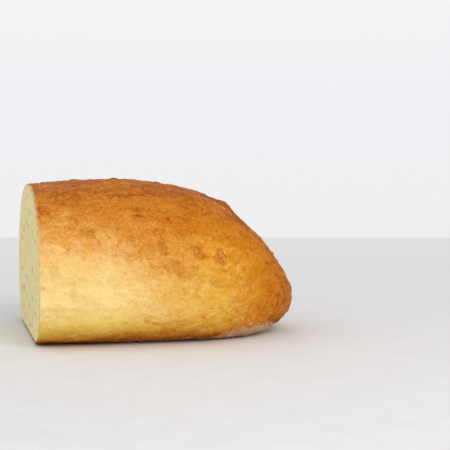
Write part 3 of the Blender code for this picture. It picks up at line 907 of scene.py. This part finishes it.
def cutSpot(draw, reach):
    halfWidth, top, bulge, _ = loafSection(0.0)
    angle = draw.uniform(0.0, 2.0 * math.pi)
    share = reach * math.sqrt(draw.random())
    rise = (top - bulge) if math.sin(angle) > 0.0 else bulge
    return halfWidth * share * math.cos(angle), bulge + rise * share * math.sin(angle), share


def between(draw, ends, power):
    # a size between the ends, mostly near the smaller one
    return ends[0] + (ends[1] - ends[0]) * draw.random() ** power


def nears(across, up, room, others):
    return any(math.hypot(across - y, up - z) < room for y, z, *_ in others)


def cutFeatures():
    # the same draws as the solid's: kernels first, then the holes from large to small
    bulge = loafSection(0.0)[2]
    kernelsHere, holes, taken = [], [], []
    for i in range(spread["cutKernels"] + spread["pores"]):
        isKernel = i < spread["cutKernels"]
        shrink = (max(i - spread["cutKernels"], 0) / spread["pores"]) ** 0.6
        radius = crumb["holeLarge"] + (crumb["holeSmall"] - crumb["holeLarge"]) * shrink
        room = 0.65 * kernel["size"][0] if isKernel else 1.7 * radius + 0.0008
        across, up, share = cutSpot(rng, crumb["reach"])
        while any(math.hypot(across - y, up - z) < room + other for y, z, other in taken):
            across, up, share = cutSpot(rng, crumb["reach"])
        taken.append((across, up, room))
        lean = math.atan2(up - bulge, -across) + rng.uniform(-1.0, 1.0) * (1.3 - share)
        if isKernel:
            kernelsHere.append((across, up, lean, rng.uniform(kernel["smallest"], 1.0)))
        else:
            holes.append((across, up, lean, radius))
    return kernelsHere, holes


def stampHole(depth, low, across, up, lean, radius, shape, deep):
    # presses one egg-shaped hole into the raster of depths; lean as seen from outside the cut
    cell = crumb["cell"]
    reach = int(radius * shape[0] / cell) + 2
    i, j = int((across - low[0]) / cell), int((up - low[1]) / cell)
    rows = slice(max(i - reach, 0), min(i + reach + 1, depth.shape[0]))
    columns = slice(max(j - reach, 0), min(j + reach + 1, depth.shape[1]))
    y = low[0] + cell * np.arange(rows.start, rows.stop)[:, None] - across
    z = low[1] + cell * np.arange(columns.start, columns.stop)[None, :] - up
    lengthwise = z * math.cos(lean) + y * math.sin(lean)
    sideways = -z * math.sin(lean) + y * math.cos(lean)
    q2 = (lengthwise / (radius * shape[0])) ** 2 + (sideways / (radius * shape[1])) ** 2
    pressed = deep * radius * np.sqrt(np.clip(1.0 - q2, 0.0, 1.0)) * (q2 < 1.0)
    patch = depth[rows, columns]
    np.maximum(patch, pressed, out=patch)


def crumbDepths(outline, holes, kernelsHere):
    low = outline.min(axis=0) - 0.002
    size = ((outline.max(axis=0) + 0.002 - low) / crumb["cell"]).astype(int)
    depth = np.zeros(size)
    draw = random.Random(23)
    bulge = loafSection(0.0)[2]
    for count, ends, deep in (crumb["small"], crumb["mid"]):
        for _ in range(count):
            across = draw.uniform(low[0], low[0] + size[0] * crumb["cell"])
            up = draw.uniform(low[1], low[1] + size[1] * crumb["cell"])
            if nears(across, up, crumb["clear"], kernelsHere):
                continue
            outward = math.hypot(across / 0.082, (up - bulge) / 0.055)
            lean = math.atan2(up - bulge, -across) + draw.gauss(0.0, 1.0) * max(0.25, 1.2 - outward)
            radius = between(draw, ends, 2)
            long = draw.uniform(1.1, 1.9)
            stampHole(depth, low, across, up, lean, radius, (long, 1.0 / math.sqrt(long)), deep)
    for across, up, lean, radius in holes:
        shape = crumb["holeShape"]
        stampHole(depth, low, across, up, lean, radius, shape[:2], shape[2] + 0.25)
        # a smaller hole runs into most large ones, so that few are plain ovals
        side = draw.uniform(0.0, 2.0 * math.pi)
        beside = (across + radius * math.cos(side), up + radius * math.sin(side))
        stampHole(depth, low, *beside, lean + 0.5, 0.55 * radius, (1.3, 0.9), 0.9)
    return depth, low


def readRaster(depth, low, across, up):
    column, row = (across - low[0]) / crumb["cell"], (up - low[1]) / crumb["cell"]
    i, j = column.astype(int), row.astype(int)
    fi, fj = column - i, row - j
    low, high = (depth[i, k] * (1 - fi) + depth[i + 1, k] * fi for k in (j, j + 1))
    return low * (1 - fj) + high * fj


def slabFaces(steps, border, count):
    # the grid's squares, a wall round its border and one face behind
    faces = []
    for p in range(steps - 1):
        for q in range(steps - 1):
            corner = p * steps + q
            faces.append((corner, corner + steps, corner + steps + 1, corner + 1))
    for k, (here, there) in enumerate(zip(border, border[1:] + border[:1])):
        faces.append((here, there, count + (k + 1) % len(border), count + k))
    faces.append(tuple(count + k for k in range(len(border)))[::-1])
    return faces


def makeCrumb():
    kernelsHere, holes = cutFeatures()
    outline = cutEdge[:-1, 1:3]
    bulge = loafSection(0.0)[2]
    edgeLine = inset(outline, crumb["edge"])
    edgeAngle = np.arctan2(edgeLine[:, 1] - bulge, edgeLine[:, 0])
    order = np.argsort(edgeAngle)
    edgeReach = np.hypot(edgeLine[order, 0], edgeLine[order, 1] - bulge)
    depth, low = crumbDepths(outline, holes, kernelsHere)

    # a square grid drawn out to the loaf's outline, so that its cells stay even
    steps = crumb["steps"]
    a, b = np.meshgrid(np.linspace(-1, 1, steps), np.linspace(-1, 1, steps), indexing="ij")
    x, y = a * np.sqrt(1 - b ** 2 / 2), b * np.sqrt(1 - a ** 2 / 2)
    angle, share = np.arctan2(y, x), np.clip(np.hypot(x, y), 0.0, 1.0)
    fullReach = np.interp(angle, edgeAngle[order], edgeReach, period=2 * math.pi)
    across, rise = fullReach * share * np.cos(angle), fullReach * share * np.sin(angle)
    up, toEdge = bulge + rise, fullReach * (1.0 - share)
    hole = readRaster(depth, low, across, up) * smoothStep(toEdge / crumb["deepest"])
    flat = cutPlane(across, up, np.zeros(across.shape))
    # the knife drags: faint waves along its stroke and small torn crumbs
    rough = 0.00010 * noiseAt(flat, 0.0016, 12.0) + 0.00012 * noiseAt(flat, 0.006, 13.0)
    proud = rough * smoothStep(toEdge / 0.002) - crumb["sunk"] - hole
    for y0, z0, _, _ in kernelsHere:
        near = bump((across - y0) ** 2 + (up - z0) ** 2, crumb["calm"] ** 2)
        proud = proud * (1.0 - near) - crumb["calmDepth"] * near
        hole = hole * (1.0 - near)
    # the back is tucked in, because the cut slants and the slab goes in square to it
    tucked = 1.0 - cut["tuck"] / fullReach
    back = cutPlane(across * tucked, bulge + rise * tucked, np.full(across.shape, -crumb["thickness"]))
    border = borderWalk(steps)
    frontPoints = cutPlane(across, up, proud).reshape(-1, 3)
    points = np.concatenate([frontPoints, back.reshape(-1, 3)[border]])
    crumbSlab = newMesh("cutCrumb", points, slabFaces(steps, border, len(frontPoints)))

    rim = smoothStep(toEdge, crumb["rimWidth"], -crumb["rimWidth"]) ** 1.4
    rim = np.maximum(rim, smoothStep(up, crumb["baseRim"], -0.0017))
    # hole carries each hole's depth to the material, which paints it as shade
    fields = {
        "hole": hole / crumb["deepest"], "rim": rim * (0.9 + 0.35 * noiseAt(flat, 0.004, 14.0)),
        "bake": bakeAndShadeLevel(flat) * (0.8 + 0.2 * rim), "golden": goldenShare(flat),
    }
    for name, values in fields.items():
        values = np.clip(values, 0.0, 1.0).ravel()
        keepAttribute(crumbSlab, name, np.concatenate([values, values[border]]))
    mesh = bmesh.new()
    mesh.from_mesh(crumbSlab.data)
    closeMesh(crumbSlab, mesh)
    crumbSlab.data.materials.append(openCrumb())
    return crumbSlab, kernelsHere, holes


def borderWalk(steps):
    # the grid's border, once round
    last = steps - 1
    walk = list(range(last))
    walk += [p * steps + last for p in range(last)]
    walk += [last * steps + q for q in range(last, 0, -1)]
    walk += [p * steps for p in range(last, 0, -1)]
    return walk


crumbSlab, cutKernels, cutHoles = makeCrumb()
print("crumb cut:", len(crumbSlab.data.polygons), "faces")


# Kernels, maize grits and flour: small shapes set out by Geometry Nodes on chosen points

def scatter(name, places, makeTree, values, material):
    # one vertex for each copy, with the turn and the size that the tree reads
    piece = newMesh(name, [place for place, _, _ in places])
    for label, index in (("turn", 1), ("size", 2)):
        attribute = piece.data.attributes.new(label, "FLOAT_VECTOR", "POINT")
        attribute.data.foreach_set("vector", [c for row in places for c in row[index]])
    growMesh(piece, makeTree(values), values, material)
    piece.data.shade_smooth()
    return piece


def makeKernelTree(sizes):
    # a flattened drop with a faint keel, copied to every point
    tree, size = newTree("kernelScatter", sizes)
    ballLinks = {"Segments": size["Sides"], "Rings": size["Rings"], "Radius": 0.5}
    ball = tap(tree, "GeometryNodeMeshUVSphere", "Mesh", ballLinks)
    x, y, z = tap(tree, "ShaderNodeSeparateXYZ", None, {0: tap(tree, "GeometryNodeInputPosition")})
    wide = x * (1.3 - (z + 0.5) * size["Taper"])
    thick = y * (reckon("COSINE", x * 18.0) * 0.03 + 1.0)
    shape = tap(tree, "ShaderNodeCombineXYZ", 0, {0: z * size["Length"], 1: wide, 2: thick})
    body = tap(tree, "GeometryNodeSetPosition", 0, {"Geometry": ball, "Position": shape})
    copyOnPoints(tree, size, body)
    return tree


def makeGritTree(sizes):
    # a rough lump: a ball of few faces, dented by noise, copied to every point
    tree, size = newTree("gritScatter", sizes)
    ballLinks = {"Radius": 0.5, "Subdivisions": size["Fineness"]}
    ball = tap(tree, "GeometryNodeMeshIcoSphere", "Mesh", ballLinks)
    noiseLinks = {"Scale": 2.2, "W": size["Seed"]}
    dent = (tap(tree, "ShaderNodeTexNoise", "Fac", noiseLinks, noise_dimensions="4D") - 0.5) * size["Dent"]
    links = {0: tap(tree, "GeometryNodeInputNormal"), "Scale": dent}
    offset = tap(tree, "ShaderNodeVectorMath", 0, links, operation="SCALE")
    body = tap(tree, "GeometryNodeSetPosition", 0, {"Geometry": ball, "Offset": offset})
    copyOnPoints(tree, size, body)
    return tree


def copyOnPoints(tree, inputs, body):
    turn, size = (
        tap(tree, "GeometryNodeInputNamedAttribute", 0, {"Name": label}, data_type="FLOAT_VECTOR")
        for label in ("turn", "size"))
    rotation = tap(tree, "FunctionNodeEulerToRotation", 0, {0: turn})
    links = {"Points": inputs["Geometry"], "Instance": body, "Rotation": rotation, "Scale": size}
    endTree(tree, inputs, tap(tree, "GeometryNodeInstanceOnPoints", 0, links))


def makeKernels():
    draw = random.Random(kernel["seed"])
    places = []
    for place, normal, lean, size, openness in crustKernels:
        if openness < kernel["bare"]:
            continue
        sunk = 0.5 * kernel["size"][2] * size - kernel["proud"] + kernel["deeper"] * (1.0 - openness)
        turn = facing(normal, lean).to_euler()
        places.append((place - normal * sunk, turn, [side * size for side in kernel["size"]]))
    for across, up, lean, size in cutKernels:
        middle = loafPoint(0.0, across, up) - cutOut * (0.5 * kernel["size"][2] * size - kernel["cutProud"])
        turn = facing(cutOut, lean).to_euler()
        places.append((middle, turn, [side * size * draw.uniform(0.9, 1.05) for side in kernel["size"]]))
    return scatter("sunflowerKernels", places, makeKernelTree, kernel["tree"], toastedKernel())


grits = {
    "count": 64, "size": (0.0009, 0.0026), "thick": 0.0008, "proud": 0.00014, "seed": 41,
    "reach": 0.9, "clear": 0.006, "tree": {"Fineness": 2, "Dent": 0.35, "Seed": 3.0},
}
flour = {
    "count": 780, "size": (0.0005, 0.0019), "thick": 0.36, "seed": 43,
    "clumps": 0.011, "lowest": 0.0008, "fromCut": 0.02, "inSkin": 0.08,
    "tree": {"Fineness": 1, "Dent": 0.5, "Seed": 8.0},
}


def makeGrits():
    draw = random.Random(grits["seed"])
    places = []
    while len(places) < grits["count"]:
        across, up, _ = cutSpot(draw, grits["reach"])
        if nears(across, up, grits["clear"], cutKernels + cutHoles):
            continue
        size = between(draw, grits["size"], 1.6)
        middle = loafPoint(0.0, across, up) - cutOut * (0.5 * grits["thick"] - grits["proud"])
        turn = facing(cutOut, draw.uniform(0.0, math.pi)).to_euler()
        shape = [size * draw.uniform(0.8, 1.2), size * draw.uniform(0.6, 1.0), grits["thick"]]
        places.append((middle, turn, shape))
    return scatter("maizeGrits", places, makeGritTree, grits["tree"], cookedMaize())


def makeFlour():
    # caked crumbs of flour low on the crust, thickest at the foot of the round end
    draw = random.Random(flour["seed"])
    spots = [(v.co.copy(), v.normal.copy()) for v in crust.data.vertices]
    places = []
    while len(places) < flour["count"]:
        spot, normal = spots[draw.randrange(len(spots))]
        share = (spot.x + loaf["Middle"]) / loaf["Half length"]
        lift = 0.0030 + 0.006 * float(smoothStep(share, 0.66, 0.18))
        likely = math.exp(-((spot.z / lift) ** 2)) * (0.15 + 0.85 * float(smoothStep(share, 0.25, 0.2)))
        likely *= 1.0 - 0.9 * float(smoothStep(share, 0.86, 0.06))
        clump = noise.noise(spot / flour["clumps"]) > 0.10
        if spot.z < flour["lowest"] or not clump or draw.random() > likely or share < flour["fromCut"]:
            continue
        size = between(draw, flour["size"], 2.5)
        turn = facing(normal, draw.uniform(0.0, math.pi)).to_euler()
        shape = [size * draw.uniform(0.8, 1.4), size * draw.uniform(0.7, 1.1), size * flour["thick"]]
        middle = spot - normal * flour["inSkin"] * size
        middle.z = max(middle.z, 0.25 * size + 0.0002)
        places.append((middle, turn, shape))
    return scatter("flourCrumbs", places, makeGritTree, flour["tree"], bakedFlour())


pieces = (
    (crust, "crust"), (crumbSlab, "crumb"), (makeKernels(), "sunflower_kernel"),
    (makeGrits(), "maize_grit"), (makeFlour(), "flour"),
)
print("kernels, grits and flour placed")
for piece, slot in pieces:
    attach(piece, "root")
    print(piece.name, sum(len(face.vertices) - 2 for face in piece.data.polygons), "triangles")
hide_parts("half_loaf")
